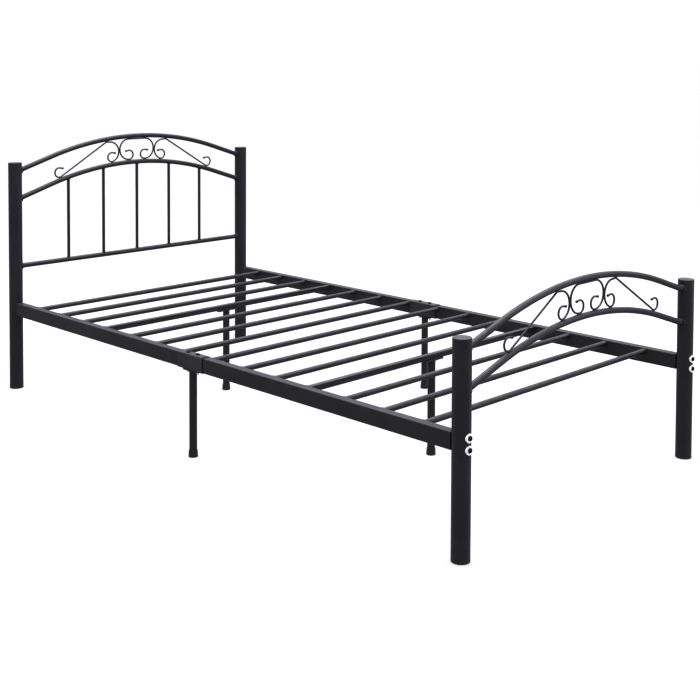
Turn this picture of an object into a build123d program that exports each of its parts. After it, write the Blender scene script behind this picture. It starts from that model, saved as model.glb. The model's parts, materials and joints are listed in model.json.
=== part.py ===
from build123d import *
import os
from math import acos, asin, atan2, cos, hypot, pi, sin, sqrt, tan

# A single bed frame of black powder-coated steel: two arched boards with wire scrolls on
# round posts, and a two-piece slatted base bolted between them, with four legs under it.
# Axes: X across the bed, Y along it with the headboard at +Y, Z up. Millimetres.
# Origin: on the floor, under the middle of the rectangle of the four posts.

# ---- posts -------------------------------------------------------------------------------
post_pitch_x = 995.0  # between post centres, across the bed
post_pitch_y = 1965.0  # between post centres, along the bed
head_post_height = 772.0  # floor to the top of the cap
foot_post_height = 512.0
post_diameter = 45.0
post_wall = 1.5
top_cap_height = 3.0  # what shows above the tube
foot_cap_height = 8.0  # what shows below the tube
cap_plug_depth = 16.0  # what is pushed into the tube
cap_edge_radius = 1.0

# ---- boards ------------------------------------------------------------------------------
arch_end_drop = 33.0  # from a post's top down to the upper arch's centre line, at the post
arch_gap = 96.0  # between the centre lines of the two arches of a board
arch_bend_radius = 1150.0
arch_bend_half_span = 356.0  # beyond this the arch runs straight down to the post
arch_tube = 16.0
arch_wall = 1.2
head_bar_height = 417.0  # centre line of the straight bar under the spindles
spindle_diameter = 10.0
spindle_pitch = 145.0
spindle_count = 5

# ---- scrolls -----------------------------------------------------------------------------
wire = 5.0
scroll_touch = 76.5  # where a side scroll touches the centre one, from the middle
side_bow_slack = 1.5  # what a side scroll's bow leaves free between the arches, each way
curl_radius = 16.5
curl_shift = 3.5  # how far the centre scroll's curls stand in from its bows
side_curl_place = 109.0
peak_place = 130.0  # where a side scroll turns over under the upper arch
peak_radius = 8.0
far_curl_place = 327.0
tail_length = 17.0  # the straight end of each curl
tail_droop = 2.5
tip_growth = 1.8  # how much thicker the upset end of the wire is
tip_length = 7.0
tip_rounding = 2.4

# ---- base --------------------------------------------------------------------------------
rail_height = 42.5
rail_width = 25.0
rail_wall = 1.5
rail_corner = 2.5
rail_top = 294.5
rail_joint_gap = 1.0  # between the two halves of a rail
slats_per_half = 7
last_slat_gap = 124.5  # from the slat next to a board to the board's middle
crossbar_number = 4  # which one, counted from the joint, is the square crossbar
slat_diameter = 15.0
slat_wall = 1.0
crossbar_size = 16.0
crossbar_wall = 1.2
crossbar_corner = 1.5
slat_drop = 2.0  # slat tops below the rail tops

# ---- joint sleeves and legs --------------------------------------------------------------
sleeve_wall = 1.5
sleeve_clearance = 0.2
sleeve_slat_gap = 1.5  # between an end of the sleeve and the nearest slat
joint_bolt_pitch = 43.0
leg_diameter = 22.0
leg_wall = 1.5
flange_thickness = 3.0
flange_corner = 6.0
flange_edge = 13.0  # from a flange hole to the end of the flange
side_flange_width = 26.0
centre_flange_width = 26.0
centre_bolt_pitch = 56.0
shoe_height = 19.0
shoe_floor = 4.0
shoe_wall = 1.5
shoe_flare = 1.0  # how much wider the shoe is at the floor, all round

# ---- fasteners ---------------------------------------------------------------------------
bolt = 6.0
bolt_clearance = 0.6  # added to a plain hole's diameter
head_diameter = 12.0
head_height = 3.6
hex_key = 4.0
hex_depth = 2.0
nut_across_flats = 10.0
nut_height = 5.0
post_bolt_edge = 7.5  # from a post bolt to the top or bottom of the rail
thread_in_block = 18.0
washer_gap = 5.5  # between the two washers of a post
washer_thickness = 2.0  # at the middle, over the post
end_block_length = 24.0  # threaded block inside the end of a rail
insert_body = 8.5
insert_length = 9.0
thread_past_nut = 2.0

# ---- places that follow ------------------------------------------------------------------
post_radius = post_diameter / 2
board_y = post_pitch_y / 2
post_x = post_pitch_x / 2
rail_middle = rail_top - rail_height / 2
rail_end = board_y - post_radius
slat_pitch = (board_y - last_slat_gap) / (slats_per_half - 0.5)
slat_reach = post_x - rail_width / 2
slat_height = rail_top - slat_drop - slat_diameter / 2
crossbar_bottom = rail_top - slat_drop - crossbar_size
sleeve_length = slat_pitch - slat_diameter - 2 * sleeve_slat_gap
sleeve_width = rail_width + 2 * (sleeve_clearance + sleeve_wall)
sleeve_height = rail_height + 2 * (sleeve_clearance + sleeve_wall)
sleeve_bottom = rail_middle - sleeve_height / 2
hole = bolt + bolt_clearance
post_bolt_pitch = rail_height - 2 * post_bolt_edge
washer_diameter = post_bolt_pitch - washer_gap
wire_offset = (arch_tube + wire) / 2
side_bow_radius = arch_gap / 2 - wire_offset - side_bow_slack
arch_bend_angle = asin(arch_bend_half_span / arch_bend_radius)
arch_sag = arch_bend_radius * (1 - cos(arch_bend_angle))
arch_run = post_x - arch_bend_half_span
arch_rise = arch_sag + arch_run * tan(arch_bend_angle)
head_arch_top = head_post_height - arch_end_drop + arch_rise
foot_arch_top = foot_post_height - arch_end_drop + arch_rise
low = (Align.CENTER, Align.CENTER, Align.MIN)

os.makedirs("parts", exist_ok=True)


def save(node, *solids):
    """Write one node: a single solid, or a group of separate ones."""
    shape = solids[0] if len(solids) == 1 else Compound(list(solids))
    export_step(shape, f"parts/{node}.step")


def rod(start, end, diameter):
    """A solid round bar from start to end."""
    along = Vector(*end) - Vector(*start)
    return Plane(origin=start, z_dir=along) * Cylinder(diameter / 2, along.length, align=low)


def tube(start, end, diameter, wall):
    return rod(start, end, diameter) - rod(start, end, diameter - 2 * wall)


def box_bar(width, height, corner, y_start, y_end, x, z):
    """A rounded rectangular bar along Y, centred on x and z."""
    section = Plane(origin=(x, y_start, z), x_dir=(1, 0, 0), z_dir=(0, 1, 0))
    return extrude(section * RectangleRounded(width, height, corner), y_end - y_start)


def box_tube(width, height, corner, wall, y_start, y_end, x, z):
    outer = box_bar(width, height, corner, y_start, y_end, x, z)
    return outer - box_bar(
        width - 2 * wall, height - 2 * wall, corner - wall, y_start, y_end, x, z
    )


def along_path(path, diameter):
    """A round bar whose centre line is the path."""
    section = Plane(origin=path @ 0, z_dir=path % 0) * Circle(diameter / 2)
    return sweep(section, path=path)


# ---- posts and their caps ----------------------------------------------------------------
def post_bolt_heights():
    return [rail_middle + side * post_bolt_pitch / 2 for side in (-1, 1)]


def post_tube(x, y, height):
    """The tube, cross-drilled along Y for the bolts that hold the rail."""
    body = tube((x, y, foot_cap_height), (x, y, height - top_cap_height), post_diameter, post_wall)
    for z in post_bolt_heights():
        body -= rod((x, y - post_radius, z), (x, y + post_radius, z), hole)
    return body


def cap(x, y, z, shown, plug_up):
    """A plastic cap flush with the post, with a plug that fills the tube."""
    disc = Cylinder(post_radius, shown, align=low)
    outer_edge = disc.edges().filter_by(GeomType.CIRCLE).sort_by(Axis.Z)[0 if plug_up else -1]
    disc = fillet(outer_edge, cap_edge_radius)
    plug = Cylinder(post_radius - post_wall, cap_plug_depth, align=low)
    plug_z = shown if plug_up else -cap_plug_depth
    return Pos(x, y, z) * (disc + Pos(0, 0, plug_z) * plug)


def make_post(name, x, y, height):
    save(f"post_{name}", post_tube(x, y, height))
    save(f"post_top_cap_{name}", cap(x, y, height - top_cap_height, top_cap_height, False))
    save(f"post_foot_cap_{name}", cap(x, y, 0, foot_cap_height, True))


# ---- arched boards -----------------------------------------------------------------------
def arch_path(apex, y):
    """Straight from one post, round the bend and straight to the other post."""
    left_end = (-post_x, y, apex - arch_rise)
    left = (-arch_bend_half_span, y, apex - arch_sag)
    right = (arch_bend_half_span, y, apex - arch_sag)
    right_end = (post_x, y, apex - arch_rise)
    bend = ThreePointArc(left, (0, y, apex), right)
    return Wire([Line(left_end, left), bend, Line(right, right_end)])


def posts_at(y, height):
    """The outsides of the two posts of a board, which its tubes are cut to meet."""
    return [rod((side * post_x, y, 0), (side * post_x, y, height), post_diameter) for side in (-1, 1)]


def arch(apex, y, height):
    path = arch_path(apex, y)
    body = along_path(path, arch_tube) - along_path(path, arch_tube - 2 * arch_wall)
    for post in posts_at(y, height):
        body -= post
    return body


def head_bar():
    ends = [(side * post_x, board_y, head_bar_height) for side in (-1, 1)]
    body = tube(*ends, arch_tube, arch_wall)
    for post in posts_at(board_y, head_post_height):
        body -= post
    return body


def spindle(x):
    """A rod from the bar to the lower arch, with both ends cut to sit on them."""
    lower_apex = head_arch_top - arch_gap
    body = rod((x, board_y, head_bar_height), (x, board_y, lower_apex), spindle_diameter)
    body -= rod((-post_x, board_y, head_bar_height), (post_x, board_y, head_bar_height), arch_tube)
    body -= along_path(arch_path(lower_apex, board_y), arch_tube)
    return body.solids().sort_by(Axis.Z)[0]


# ---- scrolls: wire wound round pegs --------------------------------------------------------
# A peg is (x, z, turn). The wire bends round it anticlockwise at a radius of turn, or
# clockwise where turn is negative, seen from the foot of the bed. A turn of 0 is a free end.
def leaving(peg, heading):
    x, z, turn = peg
    return x + turn * sin(heading), z - turn * cos(heading)


def heading_between(here, there):
    """Direction of the straight wire that is tangent to both pegs."""
    dx, dz, offset = there[0] - here[0], there[1] - here[1], there[2] - here[2]
    run = sqrt(max(dx * dx + dz * dz - offset * offset, 0))
    return atan2(dz, dx) - atan2(offset, run)


def wire_path(pegs, y):
    headings = [heading_between(here, there) for here, there in zip(pegs, pegs[1:])]
    edges = []
    for number, heading in enumerate(headings):
        start, end = leaving(pegs[number], heading), leaving(pegs[number + 1], heading)
        edges.append(Line((start[0], y, start[1]), (end[0], y, end[1])))
        if number + 1 < len(headings):
            turn = 1 if pegs[number + 1][2] > 0 else -1
            sweep_angle = turn * ((turn * (headings[number + 1] - heading)) % (2 * pi))
            middle = leaving(pegs[number + 1], heading + sweep_angle / 2)
            last = leaving(pegs[number + 1], heading + sweep_angle)
            edges.append(
                ThreePointArc((end[0], y, end[1]), (middle[0], y, middle[1]), (last[0], y, last[1]))
            )
    return Wire(edges)


def upset_end(free, heading, y):
    """The thickened end of a wire, which arrives at its free end with this heading."""
    x, z, _ = free
    back = (x - tip_length * cos(heading), y, z - tip_length * sin(heading))
    body = rod(back, (x, y, z), wire + tip_growth)
    return fillet(body.edges().filter_by(GeomType.CIRCLE), tip_rounding)


def scroll_wire(pegs, y):
    body = along_path(wire_path(pegs, y), wire)
    body += upset_end(pegs[0], heading_between(pegs[0], pegs[1]) + pi, y)
    return body + upset_end(pegs[-1], heading_between(pegs[-2], pegs[-1]), y)


def under_arch(apex, x, radius):
    """Height of the centre of a bend that touches the arch from below."""
    reach = arch_bend_radius - wire_offset - radius
    return apex - arch_bend_radius + sqrt(reach**2 - x**2)


def over_arch(apex, x, radius):
    """Height of the centre of a bend that touches the arch from above."""
    reach = arch_bend_radius + wire_offset + radius
    return apex - arch_bend_radius + sqrt(reach**2 - x**2)


def centre_bow(upper_apex):
    """The centre scroll's bow, which touches both arches and reaches to scroll_touch.

    Its centre lies on an ellipse about the centres of the two arches. Its place and its
    radius depend on each other, and a few rounds settle them.
    """
    half_gap = arch_gap / 2
    middle = upper_apex - half_gap - arch_bend_radius
    radius = half_gap - wire_offset
    for _ in range(4):
        x = scroll_touch - wire / 2 - radius
        share = sqrt(1 - x**2 / (arch_bend_radius**2 - half_gap**2))
        radius = half_gap * share - wire_offset
    return x, middle + arch_bend_radius * share, radius


def centre_scroll(upper_apex, y):
    x, z, radius = centre_bow(upper_apex)
    curl_x = x - curl_shift
    curl_z = over_arch(upper_apex - arch_gap, curl_x, curl_radius)
    tail = (curl_x + tail_length, curl_z + curl_radius - tail_droop, 0)
    right = [(x, z, -radius), (curl_x, curl_z, -curl_radius), tail]
    left = [(-px, pz, turn) for px, pz, turn in reversed(right)]
    return scroll_wire(left + right, y)


def side_scroll(upper_apex, y, side):
    """The scroll on the +X side, or its mirror image: a curl, a bow, a peak and a long run."""
    lower_apex = upper_apex - arch_gap
    x, z, radius = centre_bow(upper_apex)
    # The bow touches the centre scroll's bow and the lower arch.
    floor_z = lower_apex - arch_bend_radius
    to_floor = arch_bend_radius + wire_offset + side_bow_radius
    to_bow = radius + wire + side_bow_radius
    apart = hypot(x, z - floor_z)
    lean = acos((to_floor**2 + apart**2 - to_bow**2) / (2 * to_floor * apart))
    direction = atan2(z - floor_z, x) - lean
    bow = (to_floor * cos(direction), floor_z + to_floor * sin(direction), -side_bow_radius)
    curl_z = over_arch(lower_apex, side_curl_place, curl_radius)
    near_tail = (side_curl_place - tail_length, curl_z + curl_radius - tail_droop, 0)
    far_z = over_arch(lower_apex, far_curl_place, curl_radius)
    far_tail = (far_curl_place - tail_length, far_z + curl_radius - tail_droop, 0)
    pegs = [
        near_tail,
        (side_curl_place, curl_z, -curl_radius),
        bow,
        (peak_place, under_arch(upper_apex, peak_place, peak_radius), -peak_radius),
        (far_curl_place, far_z, curl_radius),
        far_tail,
    ]
    body = scroll_wire(pegs, y)
    return body if side > 0 else mirror(body, about=Plane.YZ)


def make_board(name, upper_apex, y, height):
    save(f"{name}_upper_arch", arch(upper_apex, y, height))
    save(f"{name}_lower_arch", arch(upper_apex - arch_gap, y, height))
    save(f"{name}_scroll_centre", centre_scroll(upper_apex, y))
    save(f"{name}_scroll_left", side_scroll(upper_apex, y, -1))
    save(f"{name}_scroll_right", side_scroll(upper_apex, y, 1))


# ---- base: rails, slats and crossbars ------------------------------------------------------
def joint_bolt_places():
    return [side * joint_bolt_pitch / 2 for side in (-1, 1)]


def rail_half(x, end):
    """Half a side rail, from the joint at mid-length to the post at that end."""
    spans = sorted((end * rail_joint_gap / 2, end * rail_end))
    body = box_tube(rail_width, rail_height, rail_corner, rail_wall, *spans, x, rail_middle)
    y = end * joint_bolt_pitch / 2
    body -= rod((x, y, rail_middle - rail_height), (x, y, rail_middle + rail_height), hole)
    return body


def end_block(x, end):
    """A block welded inside the end of a rail, threaded for the two post bolts."""
    spans = sorted((end * (rail_end - end_block_length), end * rail_end))
    size = (rail_width - 2 * rail_wall, rail_height - 2 * rail_wall, rail_corner - rail_wall)
    body = box_bar(*size, *spans, x, rail_middle)
    for z in post_bolt_heights():
        body -= rod((x, spans[0], z), (x, spans[1], z), bolt)
    return body


def slat(y):
    return tube((-slat_reach, y, slat_height), (slat_reach, y, slat_height), slat_diameter, slat_wall)


def crossbar(y):
    """The square crossbar, drilled from below for the inserts that hold its leg."""
    z = crossbar_bottom + crossbar_size / 2
    section = Plane(origin=(-slat_reach, y, z), x_dir=(0, 1, 0), z_dir=(1, 0, 0))
    inner = crossbar_size - 2 * crossbar_wall
    outline = RectangleRounded(crossbar_size, crossbar_size, crossbar_corner) - Rectangle(inner, inner)
    body = extrude(section * outline, 2 * slat_reach)
    for x in centre_bolt_places():
        body -= rod((x, y, crossbar_bottom), (x, y, z), insert_body)
    return body


def make_half(name, end):
    save(f"rail_{name}_left", rail_half(-post_x, end))
    save(f"rail_{name}_right", rail_half(post_x, end))
    for number in range(1, slats_per_half + 1):
        y = end * (number - 0.5) * slat_pitch
        if number == crossbar_number:
            save(f"crossbar_{name}", crossbar(y))
        else:
            save(f"slat_{name}_{number}", slat(y))


# ---- joint sleeves and legs ----------------------------------------------------------------
def sleeve(x):
    """A box sleeve over the joint of a rail, bolted down through it."""
    corner = rail_corner + sleeve_clearance + sleeve_wall
    span = (-sleeve_length / 2, sleeve_length / 2)
    body = box_tube(sleeve_width, sleeve_height, corner, sleeve_wall, *span, x, rail_middle)
    for y in joint_bolt_places():
        body -= rod((x, y, rail_middle - sleeve_height), (x, y, rail_middle + sleeve_height), hole)
    return body


def leg(top, hole_pitch, flange_width):
    """A leg at the origin with its flange along X: the flange's top is at the height top."""
    length = hole_pitch + 2 * flange_edge
    plate = extrude(RectangleRounded(length, flange_width, flange_corner), flange_thickness)
    body = Pos(0, 0, top - flange_thickness) * plate
    for side in (-1, 1):
        x = side * hole_pitch / 2
        body -= rod((x, 0, 0), (x, 0, top), hole)
    return body + tube((0, 0, shoe_floor), (0, 0, top - flange_thickness), leg_diameter, leg_wall)


def shoe():
    """A flared plastic shoe pushed over the bottom of a leg."""
    outer = leg_diameter / 2 + shoe_wall
    body = Cone(outer + shoe_flare, outer, shoe_height, align=low)
    floor_edge = body.edges().filter_by(GeomType.CIRCLE).sort_by(Axis.Z)[0]
    body = fillet(floor_edge, cap_edge_radius)
    return body - Pos(0, 0, shoe_floor) * Cylinder(leg_diameter / 2, shoe_height, align=low)


def crossbar_y():
    return (crossbar_number - 0.5) * slat_pitch


def centre_bolt_places():
    return [side * centre_bolt_pitch / 2 for side in (-1, 1)]


def make_legs():
    side_leg = Rot(0, 0, 90) * leg(sleeve_bottom, joint_bolt_pitch, side_flange_width)
    save("side_leg_left", Pos(-post_x, 0, 0) * side_leg)
    save("side_leg_right", Pos(post_x, 0, 0) * side_leg)
    centre_leg = leg(crossbar_bottom, centre_bolt_pitch, centre_flange_width)
    save("centre_leg_head", Pos(0, crossbar_y(), 0) * centre_leg)
    save("centre_leg_foot", Pos(0, -crossbar_y(), 0) * centre_leg)
    places = [(-post_x, 0), (post_x, 0), (0, crossbar_y()), (0, -crossbar_y())]
    save("leg_shoes", *[Pos(x, y, 0) * shoe() for x, y in places])


# ---- fasteners -----------------------------------------------------------------------------
def button_bolt(length):
    """A button-head bolt that hangs from z = 0: the head above, the shank below."""
    head = Cylinder(head_diameter / 2, head_height, align=low)
    head = fillet(head.edges().filter_by(GeomType.CIRCLE).sort_by(Axis.Z)[-1], head_height * 0.7)
    socket = extrude(RegularPolygon(hex_key / sqrt(3), 6), hex_depth)
    body = head - Pos(0, 0, head_height - hex_depth) * socket
    return body + Pos(0, 0, -length) * Cylinder(bolt / 2, length, align=low)


def hex_nut():
    """A nut below z = 0 that fits the bolt's thread."""
    body = extrude(RegularPolygon(nut_across_flats / sqrt(3), 6), -nut_height)
    return body - Cylinder(bolt / 2, 3 * nut_height)


def arc_washer(x, y, z, end):
    """A washer flat outside and hollowed inside to lie on the round post."""
    face = y + end * (post_radius + washer_thickness)
    body = rod((x, y, z), (x, face, z), washer_diameter) - rod((x, y, z), (x, face, z), hole)
    return body - rod((x, y, 0), (x, y, head_post_height), post_diameter)


def insert():
    """A threaded insert set upwards into the crossbar from z = 0."""
    body = Cylinder(insert_body / 2, insert_length, align=low)
    return body - Cylinder(bolt / 2, 3 * insert_length)


def make_fasteners():
    bolts, washers, blocks = [], [], []
    outward = post_radius + washer_thickness
    length = washer_thickness + post_diameter + thread_in_block
    for end in (-1, 1):
        for x in (-post_x, post_x):
            blocks.append(end_block(x, end))
            for z in post_bolt_heights():
                seat = Plane(origin=(x, end * (board_y + outward), z), z_dir=(0, end, 0))
                bolts.append(seat * button_bolt(length))
                washers.append(arc_washer(x, end * board_y, z, end))
    save("post_bolts", *bolts)
    save("post_washers", *washers)
    save("rail_end_blocks", *blocks)

    stack = sleeve_height + flange_thickness
    length = stack + nut_height + thread_past_nut
    places = [(x, y) for x in (-post_x, post_x) for y in joint_bolt_places()]
    top = sleeve_bottom + sleeve_height
    save("joint_bolts", *[Pos(x, y, top) * button_bolt(length) for x, y in places])
    save("joint_nuts", *[Pos(x, y, top - stack) * hex_nut() for x, y in places])

    under = Rot(180, 0, 0) * button_bolt(flange_thickness + insert_length)
    places = [(x, y) for y in (-crossbar_y(), crossbar_y()) for x in centre_bolt_places()]
    seat = crossbar_bottom - flange_thickness
    save("centre_leg_bolts", *[Pos(x, y, seat) * under for x, y in places])
    save("crossbar_inserts", *[Pos(x, y, crossbar_bottom) * insert() for x, y in places])


# ---- the whole bed frame -------------------------------------------------------------------
for side_name, side_x in (("left", -post_x), ("right", post_x)):
    make_post(f"head_{side_name}", side_x, board_y, head_post_height)
    make_post(f"foot_{side_name}", side_x, -board_y, foot_post_height)

make_board("head", head_arch_top, board_y, head_post_height)
make_board("foot", foot_arch_top, -board_y, foot_post_height)
save("head_bar", head_bar())
for spindle_number in range(spindle_count):
    spindle_x = (spindle_number - (spindle_count - 1) / 2) * spindle_pitch
    save(f"head_spindle_{spindle_number + 1}", spindle(spindle_x))

make_half("head", 1)
make_half("foot", -1)
save("rail_sleeve_left", sleeve(-post_x))
save("rail_sleeve_right", sleeve(post_x))
make_legs()
make_fasteners()
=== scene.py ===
import json
from math import ceil, cos, pi, radians, sin, tau
from random import Random

import bmesh
import bpy
from mathutils import Matrix, Vector
from mathutils.bvhtree import BVHTree


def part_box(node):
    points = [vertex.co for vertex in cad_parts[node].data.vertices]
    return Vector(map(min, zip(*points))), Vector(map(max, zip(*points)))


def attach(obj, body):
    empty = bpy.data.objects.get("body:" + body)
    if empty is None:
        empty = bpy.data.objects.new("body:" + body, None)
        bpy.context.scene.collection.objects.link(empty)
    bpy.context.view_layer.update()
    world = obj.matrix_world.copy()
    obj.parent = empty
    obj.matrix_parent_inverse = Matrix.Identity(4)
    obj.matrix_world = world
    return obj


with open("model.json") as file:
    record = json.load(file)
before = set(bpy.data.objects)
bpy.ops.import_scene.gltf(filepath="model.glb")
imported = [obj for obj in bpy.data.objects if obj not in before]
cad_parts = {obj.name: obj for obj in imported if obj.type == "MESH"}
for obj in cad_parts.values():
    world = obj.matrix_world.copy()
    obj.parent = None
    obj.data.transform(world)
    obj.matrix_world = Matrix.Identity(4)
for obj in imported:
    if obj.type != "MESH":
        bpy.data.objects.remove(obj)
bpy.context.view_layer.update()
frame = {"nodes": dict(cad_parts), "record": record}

# The looks of a black steel bed frame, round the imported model: the finish of each piece, the
# welds that join the tubes, and the bolts' threads. Metres, +Z up, headboard at +Y.
SCENE = bpy.context.scene
NODES = frame["nodes"]
SIDES = ("left", "right")
BOARDS = ("head", "foot")
MM = 0.001

# ---- camera and studio --------------------------------------------------------------------
EYE = Vector((-2.5558, -2.6717, 1.1489))
EYE_YAW = radians(-45.143)
EYE_PITCH = radians(-2.451)
EYE_ROLL = radians(0.235)
SENSOR = 36.0
LENS = 61.23
SHIFT_Y = -0.3514
FLOOR_REACH = 150.0
FLOOR_TONES = ((0.21, 0.21, 0.21), (0.23, 0.23, 0.23))
FLOOR_GLOW = 0.55
BACKDROP_GLOW = 0.76
SKY = ((0.0, 0.40), (0.25, 0.48), (0.55, 1.0), (1.0, 1.15))  # tone by the sine of the height
SKY_BLUE = 1.06
SKY_STRENGTH = 1.9
LIGHTS = (  # name, place, target, width and length, watts
    ("overhead", (0, 0, 3.5), (0, 0, 0), (3, 4), 150),
    ("foot_box", (2.6, -3.6, 1.1), (0, 0, 0.4), (1.0, 2.2), 30),
)
CONTRAST = 0.64  # gamma of the finished picture, as in a product photograph

# ---- welds ----------------------------------------------------------------------------------
ARCH_BEAD = 3.4 * MM
SLAT_BEAD = 1.8 * MM
SPINDLE_BEAD = 1.5 * MM
LEG_BEAD = 1.9 * MM
TACK_BEAD = 1.25 * MM
TACK_LENGTH = 9 * MM
TACK_OFFSET = 1.9 * MM  # of each tack from the middle of the wire
RIPPLE = 2.1 * MM  # from one ripple of a bead to the next
RIPPLE_DEPTH = 0.13
BEAD_STEPS = 6  # rings per ripple
BEAD_SIDES = 10
BEAD_LIFT = 0.4  # how far a bead's middle stands out of its corner, as a share of its radius
BEAD_WANDER = 0.05, 0.03  # slow and quick changes of a bead's radius, as shares of it
TAPER_TIP = 0.15  # least sine in a taper, so that a bead keeps some width at its ends
SEAM_REACH = 0.15 * MM
OUTER_SHARE = 0.92  # a seam's points this near the farthest one are on the outside of the tube
FLANGE = 3 * MM
LEG_RADIUS = 11 * MM

# ---- threads --------------------------------------------------------------------------------
THREAD_PITCH = 1.0 * MM
THREAD_DEPTH = 0.28 * MM
THREAD_SHOWN = 1.7 * MM
THREAD_STEPS = 28  # points per turn
THREAD_RUNOUT = 7  # steps over which a thread's end fades
THREAD_START = 0.25 * MM  # above the end of the bolt
THREAD_SINK = 0.1 * MM  # of a thread's foot into the bolt
THREAD_HALF_FOOT = 0.42  # half the width of a thread's foot, as a share of its pitch
BOLT_RADIUS = 3.0 * MM
JOINT_BOLT_PITCH = 43 * MM

# ---- paint ----------------------------------------------------------------------------------
RAIL, SLEEVE = "rail_head_left", "rail_sleeve_left"  # one of each kind of box tube
COAT_TONES = (0.0270, 0.0252, 0.0290), (0.0338, 0.0318, 0.0372)
SLEEVE_PAINTED_HIGHLIGHT = 1.45  # how much lighter the sleeves' coat is painted than the rails', a painted highlight
BOX_TUBE_TOP_LIGHT = 0.5  # share of the painted top light that a flat rail gets
WORN_RANGE = 0.88, 0.97  # where a corner's wear starts and is full, 1 being the corner itself
GAP_SHADOW_WIDTH = 5 * MM  # the painted shadow band on a foot rail beside the mouth of its sleeve


# ---- finishes -------------------------------------------------------------------------------
class Finish:
    """A procedural material being made: its nodes, its shader and the place on the object."""

    def __init__(self, name, metallic, specular):
        self.material = bpy.data.materials.new(name)
        self.material.use_nodes = True
        self.nodes = self.material.node_tree.nodes
        self.links = self.material.node_tree.links
        self.shader = self.nodes["Principled BSDF"]
        self.shader.inputs["Metallic"].default_value = metallic
        self.shader.inputs["Specular IOR Level"].default_value = specular
        self.place = self.nodes.new("ShaderNodeTexCoord").outputs["Object"]
        self.relief = None

    def make(self, kind, **inputs):
        node = self.nodes.new(kind)
        for name, value in inputs.items():
            self.feed(node.inputs[name.replace("_", " ")], value)
        return node

    def feed(self, socket, value):
        if isinstance(value, bpy.types.NodeSocket):
            self.links.new(value, socket)
        else:
            socket.default_value = value

    def noise(self, scale, detail=2.0, stretch=(1, 1, 1)):
        """Noise with this many features to a metre, from 0 to 1."""
        stretched = self.nodes.new("ShaderNodeVectorMath")
        stretched.operation = "MULTIPLY"
        self.feed(stretched.inputs[0], self.place)
        stretched.inputs[1].default_value = stretch
        place = stretched.outputs[0]
        node = self.make("ShaderNodeTexNoise", Vector=place, Scale=scale, Detail=detail)
        return node.outputs["Fac"]

    def span(self, value, start, end, low, high):
        """low where value is at start, high where it is at end."""
        ends = {"From_Min": start, "From_Max": end, "To_Min": low, "To_Max": high}
        return self.make("ShaderNodeMapRange", Value=value, **ends).outputs["Result"]

    def math(self, operation, first, second=0.0):
        node = self.nodes.new("ShaderNodeMath")
        node.operation = operation
        self.feed(node.inputs[0], first)
        self.feed(node.inputs[1], second)
        return node.outputs[0]

    def mix(self, share, first, second):
        """A colour between two colours, each a socket or three numbers."""
        node = self.nodes.new("ShaderNodeMix")
        node.data_type = "RGBA"
        self.feed(node.inputs["Factor"], share)
        for name, colour in (("A", first), ("B", second)):
            socket = [s for s in node.inputs if s.name == name and s.type == "RGBA"][0]
            self.feed(socket, colour if isinstance(colour, bpy.types.NodeSocket) else (*colour, 1))
        return [s for s in node.outputs if s.type == "RGBA"][0]

    def bump(self, height, strength, distance):
        node = self.make("ShaderNodeBump", Height=height, Strength=strength, Distance=distance)
        if self.relief is not None:
            self.links.new(self.relief, node.inputs["Normal"])
        self.relief = node.outputs["Normal"]

    def done(self, colour, roughness):
        self.feed(self.shader.inputs["Base Color"], colour)
        self.feed(self.shader.inputs["Roughness"], roughness)
        self.links.new(self.relief, self.shader.inputs["Normal"])
        return self.material


def corner_share(finish, node):
    """1 along the four long corners of a box tube that runs along Y, 0 elsewhere, in patches."""
    low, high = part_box(node)
    axes = finish.make("ShaderNodeSeparateXYZ", Vector=finish.place)
    share = 1.0
    for axis, name in ((0, "X"), (2, "Z")):
        middle, half = (low[axis] + high[axis]) / 2, (high[axis] - low[axis]) / 2
        across = finish.math("ABSOLUTE", axes.outputs[name]) if axis == 0 else axes.outputs[name]
        offset = finish.math("SUBTRACT", across, abs(middle))
        away = finish.math("ABSOLUTE", offset)
        share = finish.math("MULTIPLY", finish.math("DIVIDE", away, half), share)
    corner = finish.span(share, *WORN_RANGE, 0.0, 1.0)
    return finish.math("MULTIPLY", corner, finish.span(finish.noise(90, 3), 0.42, 0.62, 0.15, 1.0))


def painted_top_light_share(finish, faintest=0.25, strongest=0.75):
    """How much painted light from above a surface gets: more where it faces up, in slow patches."""
    surface = finish.nodes.new("ShaderNodeNewGeometry").outputs["Normal"]
    facing = finish.make("ShaderNodeSeparateXYZ", Vector=surface)
    upward = finish.span(facing.outputs["Z"], 0.2, 0.9, 0.0, 1.0)
    patches = finish.span(finish.noise(35, 4), 0.30, 0.75, faintest, strongest)
    return finish.math("MULTIPLY", upward, patches)


def painted_gap_shadow_share(finish):
    """1 on a foot rail in the narrow band of painted shadow beside its sleeve, 0 elsewhere."""
    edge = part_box(SLEEVE)[0][1]
    along = finish.make("ShaderNodeSeparateXYZ", Vector=finish.place).outputs["Y"]
    away = finish.math("ABSOLUTE", finish.math("SUBTRACT", along, edge - GAP_SHADOW_WIDTH / 2))
    return finish.span(away, 0.4 * GAP_SHADOW_WIDTH, 0.6 * GAP_SHADOW_WIDTH, 1.0, 0.0)


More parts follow.
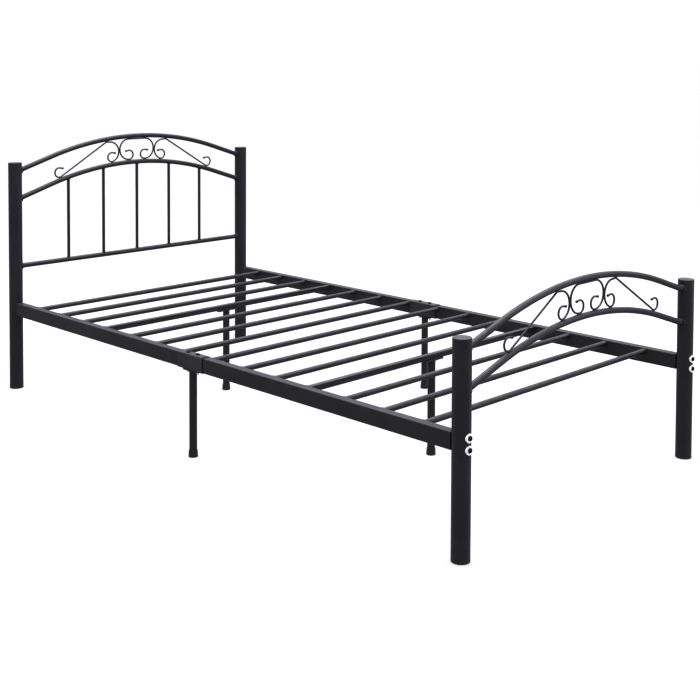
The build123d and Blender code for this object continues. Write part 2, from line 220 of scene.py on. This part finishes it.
def powder_coat(name, box_tube=None, highlight_lift=1.0):
    """Satin black powder coat: orange peel, fine grain, slow changes of tone and painted light on the
    upward faces.
    """
    finish = Finish(name, 0.0, 0.40)
    slow = finish.span(finish.noise(7, 3), 0.35, 0.65, 0.0, 1.0)
    # highlight_lift paints a lighter copy of the coat: a painted highlight, used on the sleeves
    colour = finish.mix(slow, *([highlight_lift * part for part in tone] for tone in COAT_TONES))
    grain = finish.span(finish.noise(2400, 1), 0.60, 0.74, 0.0, 0.55)
    colour = finish.mix(grain, colour, (0.056, 0.055, 0.061))
    # painted light: upward faces are painted lighter and bluer, standing in for the light from the
    # sky above
    top_light = finish.math("MULTIPLY", painted_top_light_share(finish), BOX_TUBE_TOP_LIGHT if box_tube else 1.0)
    colour = finish.mix(top_light, colour, (0.105, 0.106, 0.118))
    roughness = finish.span(finish.noise(55, 3), 0.3, 0.7, 0.36, 0.46)
    roughness = finish.math("ADD", roughness, finish.math("MULTIPLY", top_light, 0.10))
    if box_tube:
        worn = corner_share(finish, box_tube)
        colour = finish.mix(worn, colour, (0.052, 0.051, 0.056))
        roughness = finish.math("SUBTRACT", roughness, finish.math("MULTIPLY", worn, 0.06))
    if box_tube == RAIL:
        # painted shadow: a near-black band on the rail beside the sleeve's end, where the gap between
        # them lies in shade
        colour = finish.mix(painted_gap_shadow_share(finish), colour, (0.007, 0.007, 0.008))
    finish.bump(finish.noise(620, 2), 0.30, 0.25 * MM)
    finish.bump(finish.noise(2400, 1), 0.20, 0.05 * MM)
    return finish.done(colour, roughness)


def black_plastic():
    """Moulded matt plastic with a fine spark grain and faint flow marks."""
    finish = Finish("black_plastic", 0.0, 0.40)
    flow = finish.span(finish.noise(60, 3, (1, 1, 3)), 0.35, 0.65, 0.0, 1.0)
    colour = finish.mix(flow, (0.031, 0.031, 0.033), (0.041, 0.041, 0.044))
    scuff = finish.span(finish.noise(420, 4, (1, 1, 0.2)), 0.66, 0.76, 0.0, 0.6)
    colour = finish.mix(scuff, colour, (0.075, 0.075, 0.080))
    # painted light: upward faces are painted lighter and bluer, standing in for the light from the
    # sky above
    colour = finish.mix(painted_top_light_share(finish, 0.45, 0.60), colour, (0.118, 0.120, 0.130))
    finish.bump(finish.noise(1900, 2), 0.35, 0.10 * MM)
    return finish.done(colour, finish.span(finish.noise(300, 3), 0.3, 0.7, 0.46, 0.60))


def black_bolt_steel():
    """Black oxide over steel, oily and a little brown, rubbed brighter in spots."""
    finish = Finish("black_bolt_steel", 1.0, 0.5)
    slow = finish.span(finish.noise(240, 3), 0.35, 0.65, 0.0, 1.0)
    colour = finish.mix(slow, (0.030, 0.030, 0.033), (0.055, 0.052, 0.052))
    rub = finish.span(finish.noise(900, 3), 0.66, 0.78, 0.0, 0.7)
    colour = finish.mix(rub, colour, (0.16, 0.16, 0.165))
    finish.bump(finish.noise(1500, 3), 0.25, 0.08 * MM)
    return finish.done(colour, finish.span(finish.noise(500, 3), 0.3, 0.7, 0.34, 0.52))


def zinc_steel():
    """Bright zinc plate with faint straw and blue tints and fine rolling scratches."""
    finish = Finish("zinc_steel", 0.35, 0.5)
    tint = finish.span(finish.noise(130, 2), 0.35, 0.65, 0.0, 1.0)
    colour = finish.mix(tint, (0.80, 0.82, 0.86), (0.88, 0.86, 0.81))
    scratch = finish.span(finish.noise(900, 3, (0.12, 1, 1)), 0.60, 0.72, 0.0, 0.6)
    colour = finish.mix(scratch, colour, (0.60, 0.60, 0.62))
    finish.bump(finish.noise(900, 3, (0.12, 1, 1)), 0.20, 0.05 * MM)
    return finish.done(colour, finish.span(finish.noise(400, 3), 0.3, 0.7, 0.26, 0.42))


def bare_steel():
    """Mild steel as cut, grey with darker mill scale and saw marks."""
    finish = Finish("bare_steel", 1.0, 0.5)
    scale = finish.span(finish.noise(160, 4), 0.45, 0.62, 0.0, 1.0)
    colour = finish.mix(scale, (0.42, 0.42, 0.43), (0.16, 0.155, 0.155))
    finish.bump(finish.noise(700, 3, (1, 1, 0.1)), 0.30, 0.10 * MM)
    return finish.done(colour, finish.span(finish.noise(300, 3), 0.3, 0.7, 0.38, 0.60))


def box_tube_of(node):
    """The rail or sleeve that a node's coat is made for, if the node is a box tube."""
    if node.startswith("rail_sleeve"):
        return SLEEVE
    return RAIL if node.startswith("rail_") else None


def finish_all():
    """Gives every CAD node the finish that its slot names, and returns the finishes by slot."""
    coats = {
        "black_powder_coat": powder_coat("black_powder_coat"),
        "black_plastic": black_plastic(),
        "black_bolt_steel": black_bolt_steel(),
        "zinc_steel": zinc_steel(),
        "bare_steel": bare_steel(),
    }
    box_coats = {None: coats["black_powder_coat"]}
    # the sleeves get a lighter copy of the rail coat, a painted highlight
    for box_tube, highlight_lift in ((RAIL, 1.0), (SLEEVE, SLEEVE_PAINTED_HIGHLIGHT)):
        box_coats[box_tube] = powder_coat(f"black_powder_coat_{box_tube[:-5]}", box_tube, highlight_lift)
    for part in frame["record"]["subparts"]:
        node, slot = part["node"], part["material_slot"]
        coat = box_coats[box_tube_of(node)] if slot == "black_powder_coat" else coats[slot]
        for material_slot in NODES[node].material_slots:
            material_slot.material = coat
    return coats


# ---- making pieces --------------------------------------------------------------------------
def new_piece(name, shape, slot):
    mesh = bpy.data.meshes.new(name)
    shape.to_mesh(mesh)
    shape.free()
    for face in mesh.polygons:
        face.use_smooth = True
    piece = bpy.data.objects.new(name, mesh)
    SCENE.collection.objects.link(piece)
    mesh.materials.append(COATS[slot])
    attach(piece, "root")
    return piece


def add_rings(shape, rings, closed):
    """Skins a row of rings of points, joined end to end or capped at both ends."""
    rows = [[shape.verts.new(point) for point in ring] for ring in rings]
    pairs = list(zip(rows, rows[1:] + rows[:1])) if closed else list(zip(rows, rows[1:]))
    for row, following in pairs:
        for side in range(len(row)):
            after = (side + 1) % len(row)
            shape.faces.new((row[side], row[after], following[after], following[side]))
    if not closed:
        shape.faces.new(list(reversed(rows[0])))
        shape.faces.new(rows[-1])


# ---- weld beads -----------------------------------------------------------------------------
TREES = {}


def tree_of(node):
    if node not in TREES:
        mesh = NODES[node].data
        polygons = [face.vertices[:] for face in mesh.polygons]
        TREES[node] = BVHTree.FromPolygons([v.co for v in mesh.vertices], polygons)
    return TREES[node]


def even_loop(points, spacing):
    """The closed line through the points, as evenly spaced points."""
    lengths = [(b - a).length for a, b in zip(points, points[1:] + points[:1])]
    count = max(12, ceil(sum(lengths) / spacing))
    result, index, passed = [], 0, 0.0
    for number in range(count):
        target = sum(lengths) * number / count
        while passed + lengths[index] < target:
            passed += lengths[index]
            index += 1
        share = (target - passed) / max(lengths[index], 1e-9)
        result.append(points[index].lerp(points[(index + 1) % len(points)], share))
    return result


def seam(node, other):
    """The line where the outside of a tube's end meets another node, in order round the tube."""
    tree = tree_of(other)
    close = [v.co.copy() for v in NODES[node].data.vertices if tree.find_nearest(v.co, SEAM_REACH)[0]]
    middle = sum(close, Vector()) / len(close)
    reach = max((point - middle).length for point in close)
    rim = [point for point in close if (point - middle).length > OUTER_SHARE * reach]
    outward = tree.find_nearest(middle)[1]
    right = outward.orthogonal().normalized()
    up = outward.cross(right)

    def turn(point):
        away = point - middle
        return Vector((away.dot(right), away.dot(up))).angle_signed((1, 0))

    return even_loop(sorted(rim, key=turn), RIPPLE / BEAD_STEPS)


def add_bead(shape, line, directions, radius, random, taper=False):
    """A rippled weld bead along a line: closed, or open with tapered ends.

    directions gives, for each point, which way the bead stands out of the corner it fills.
    """
    ripples = max(2, round(len(line) / BEAD_STEPS))
    phase = random.uniform(0, tau)
    rings = []
    for number, (point, outward) in enumerate(zip(line, directions)):
        share = number / (len(line) - 1 if taper else len(line))
        before = line[max(number - 1, 0)] if taper else line[number - 1]
        after = line[min(number + 1, len(line) - 1)] if taper else line[(number + 1) % len(line)]
        along = (after - before).normalized()
        across = along.cross(outward).normalized()
        out = across.cross(along)
        saw = (share * ripples + phase / tau) % 1
        slow = BEAD_WANDER[0] * sin(3 * tau * share + phase)
        wander = slow + BEAD_WANDER[1] * random.uniform(-1, 1)
        size = radius * (1 - RIPPLE_DEPTH * saw**2 + wander)
        if taper:
            size *= max(TAPER_TIP, sin(pi * share)) ** 0.5
        ring = []
        for side in range(BEAD_SIDES):
            angle = tau * side / BEAD_SIDES
            ring.append(point + size * (cos(angle) * out + sin(angle) * across))
        rings.append(ring)
    add_rings(shape, rings, not taper)


def add_seam_bead(shape, node, other, radius, random):
    """A bead round the end of a tube, filling its corner with the piece that it is welded to."""
    line = seam(node, other)
    middle = sum(line, Vector()) / len(line)
    tree = tree_of(other)
    directions = []
    for point in line:
        face = tree.find_nearest(point)[1]
        away = point - middle
        away -= away.dot(face) * face
        directions.append((away.normalized() + face).normalized())
    line = [point + BEAD_LIFT * radius * out for point, out in zip(line, directions)]
    add_bead(shape, line, directions, radius, random)


def weld_piece(name, joints, seed):
    """One piece of beads: joints are (node, node it is welded to, bead radius)."""
    shape = bmesh.new()
    random = Random(seed)
    for node, other, radius in joints:
        add_seam_bead(shape, node, other, radius, random)
    return new_piece(name, shape, "black_powder_coat")


def make_board_welds():
    for board in BOARDS:
        tubes = [f"{board}_upper_arch", f"{board}_lower_arch"]
        if board == "head":
            tubes.append("head_bar")
        for side in SIDES:
            joints = [(tube, f"post_{board}_{side}", ARCH_BEAD) for tube in tubes]
            weld_piece(f"{board}_{side}_post_welds", joints, len(joints))


def make_spindle_welds():
    for node in sorted(n for n in NODES if n.startswith("head_spindle_")):
        joints = [(node, other, SPINDLE_BEAD) for other in ("head_bar", "head_lower_arch")]
        weld_piece(f"{node}_welds", joints, int(node[-1]))


def make_base_welds():
    for board in BOARDS:
        bars = sorted(n for n in NODES if n.startswith((f"slat_{board}_", f"crossbar_{board}")))
        for side in SIDES:
            joints = [(bar, f"rail_{board}_{side}", SLAT_BEAD) for bar in bars]
            weld_piece(f"rail_{board}_{side}_welds", joints, 10 + len(side))


def make_leg_welds():
    """A ring of weld under each leg's flange."""
    for number, node in enumerate(sorted(n for n in NODES if "_leg_" in n and "bolts" not in n)):
        low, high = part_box(node)
        x, y, top = (low[0] + high[0]) / 2, (low[1] + high[1]) / 2, high[2] - FLANGE
        steps = ceil(tau * LEG_RADIUS / (RIPPLE / BEAD_STEPS))
        directions = []
        for step in range(steps):
            angle = tau * step / steps
            directions.append(Vector((cos(angle), sin(angle), -1)).normalized())
        line = []
        for out in directions:
            corner = Vector((x, y, top)) + LEG_RADIUS * Vector((out.x, out.y, 0)).normalized()
            line.append(corner + BEAD_LIFT * LEG_BEAD * out)
        shape = bmesh.new()
        add_bead(shape, line, directions, LEG_BEAD, Random(number))
        new_piece(f"{node}_weld", shape, "black_powder_coat")


def touches(node, other, reach=0.4 * MM, spread=20 * MM):
    """Where a wire touches another node: each patch's middle, and the way out of the other node."""
    tree = tree_of(other)
    patches = []
    for vertex in NODES[node].data.vertices:
        place, normal, _, _ = tree.find_nearest(vertex.co, reach)
        if place is None:
            continue
        near = [patch for patch in patches if (patch[0][0] - place).length < spread]
        if near:
            near[0].append((place, normal))
        else:
            patches.append([(place, normal)])
    found = []
    for patch in patches:
        middle = sum((place for place, _ in patch), Vector()) / len(patch)
        normal = sum((normal for _, normal in patch), Vector()).normalized()
        found.append((middle, normal))
    return found


def make_scroll_tacks():
    """Short beads on both faces of the board wherever a scroll touches an arch or its neighbour."""
    for board in BOARDS:
        arches = (f"{board}_upper_arch", f"{board}_lower_arch")
        centre = f"{board}_scroll_centre"
        pairs = [(centre, arch) for arch in arches]
        for side in SIDES:
            pairs += [(f"{board}_scroll_{side}", other) for other in (*arches, centre)]
        shape = bmesh.new()
        random = Random(len(board))
        for node, other in pairs:
            for middle, normal in touches(node, other):
                along = Vector((0, 1, 0)).cross(normal).normalized()
                steps = round(TACK_LENGTH / (RIPPLE / BEAD_STEPS))
                for face in (-1, 1):
                    start = middle + Vector((0, face * TACK_OFFSET, 0))
                    shares = [step / steps - 0.5 for step in range(steps + 1)]
                    line = [start + share * TACK_LENGTH * along for share in shares]
                    directions = [Vector((0, face, 0))] * len(line)
                    add_bead(shape, line, directions, TACK_BEAD, random, taper=True)
        new_piece(f"{board}_scroll_tacks", shape, "black_powder_coat")


# ---- threads --------------------------------------------------------------------------------
def make_threads():
    """The thread on the ends of the joint bolts, below their nuts."""
    shape = bmesh.new()
    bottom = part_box("joint_bolts")[0][2]
    half = Vector((0, 0, THREAD_HALF_FOOT * THREAD_PITCH))
    for side in SIDES:
        low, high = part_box(f"side_leg_{side}")
        for end in (-1, 1):
            axis = Vector(((low[0] + high[0]) / 2, end * JOINT_BOLT_PITCH / 2, bottom + THREAD_START))
            steps = round(THREAD_STEPS * THREAD_SHOWN / THREAD_PITCH)
            rings = []
            for step in range(steps + 1):
                angle = tau * step / THREAD_STEPS
                out = Vector((cos(angle), sin(angle), 0))
                foot = axis + Vector((0, 0, THREAD_PITCH * step / THREAD_STEPS))
                depth = THREAD_DEPTH * min(1, step / THREAD_RUNOUT, (steps - step) / THREAD_RUNOUT)
                root, crest = (BOLT_RADIUS - THREAD_SINK) * out, (BOLT_RADIUS + depth) * out
                rings.append([foot + root - half, foot + crest, foot + root + half])
            add_rings(shape, rings, closed=False)
    new_piece("joint_bolt_threads", shape, "black_bolt_steel")


# ---- camera, floor and light ----------------------------------------------------------------
def make_camera():
    data = bpy.data.cameras.new("camera")
    data.sensor_width = SENSOR
    data.lens = LENS
    data.shift_y = SHIFT_Y
    data.clip_end = 2 * FLOOR_REACH
    camera = bpy.data.objects.new("camera", data)
    level = Matrix.Rotation(EYE_YAW, 4, "Z") @ Matrix.Rotation(pi / 2 + EYE_PITCH, 4, "X")
    camera.matrix_world = Matrix.Translation(EYE) @ level @ Matrix.Rotation(EYE_ROLL, 4, "Z")
    SCENE.collection.objects.link(camera)
    SCENE.camera = camera


def stage_piece(name, shape, glow):
    """Part of the white studio: it glows enough to hold only a faint shadow."""
    mesh = bpy.data.meshes.new(name)
    shape.to_mesh(mesh)
    shape.free()
    piece = bpy.data.objects.new(name, mesh)
    SCENE.collection.objects.link(piece)
    finish = Finish(name, 0.0, 0.2)
    finish.shader.inputs["Emission Color"].default_value = (1, 1, 1, 1)
    finish.shader.inputs["Emission Strength"].default_value = glow
    colour = finish.mix(finish.noise(0.8, 2), FLOOR_TONES[0], FLOOR_TONES[1])
    finish.bump(finish.noise(3, 2), 0.02, 1 * MM)
    mesh.materials.append(finish.done(colour, 0.9))
    # The metal mirrors the lights, not the paper that it stands on.
    piece.visible_glossy = False
    return piece


def make_floor():
    shape = bmesh.new()
    bmesh.ops.create_grid(shape, x_segments=8, y_segments=8, size=FLOOR_REACH)
    stage_piece("floor", shape, FLOOR_GLOW)


def make_backdrop():
    """A plain white dome round the studio, which lights nothing."""
    shape = bmesh.new()
    bmesh.ops.create_icosphere(shape, subdivisions=3, radius=FLOOR_REACH)
    dome = stage_piece("backdrop", shape, BACKDROP_GLOW)
    dome.visible_diffuse = False
    dome.visible_shadow = False


def make_light(name, place, target, size, power):
    data = bpy.data.lights.new(name, "AREA")
    data.shape = "RECTANGLE"
    data.size, data.size_y = size
    data.energy = power
    light = bpy.data.objects.new(name, data)
    light.location = place
    light.rotation_euler = (Vector(target) - Vector(place)).to_track_quat("-Z", "Y").to_euler()
    SCENE.collection.objects.link(light)


def make_studio():
    """A sky that is bright overhead and dark at the horizon, and soft boxes."""
    world = bpy.data.worlds.new("studio")
    world.use_nodes = True
    nodes, links = world.node_tree.nodes, world.node_tree.links
    axes = nodes.new("ShaderNodeSeparateXYZ")
    links.new(nodes.new("ShaderNodeTexCoord").outputs["Generated"], axes.inputs[0])
    ramp = nodes.new("ShaderNodeValToRGB")
    links.new(axes.outputs["Z"], ramp.inputs["Fac"])
    stops = ramp.color_ramp.elements
    for number, (height, tone) in enumerate(SKY):
        stop = stops[number] if number < 2 else stops.new(height)
        stop.position, stop.color = height, (tone, tone, tone * SKY_BLUE, 1)
    links.new(ramp.outputs["Color"], nodes["Background"].inputs["Color"])
    nodes["Background"].inputs["Strength"].default_value = SKY_STRENGTH
    SCENE.world = world
    SCENE.view_settings.view_transform = "Standard"
    SCENE.view_settings.gamma = CONTRAST
    for light in LIGHTS:
        make_light(*light)


make_camera()
make_floor()
make_backdrop()
make_studio()
COATS = finish_all()
make_board_welds()
make_spindle_welds()
make_base_welds()
make_leg_welds()
make_scroll_tacks()
make_threads()
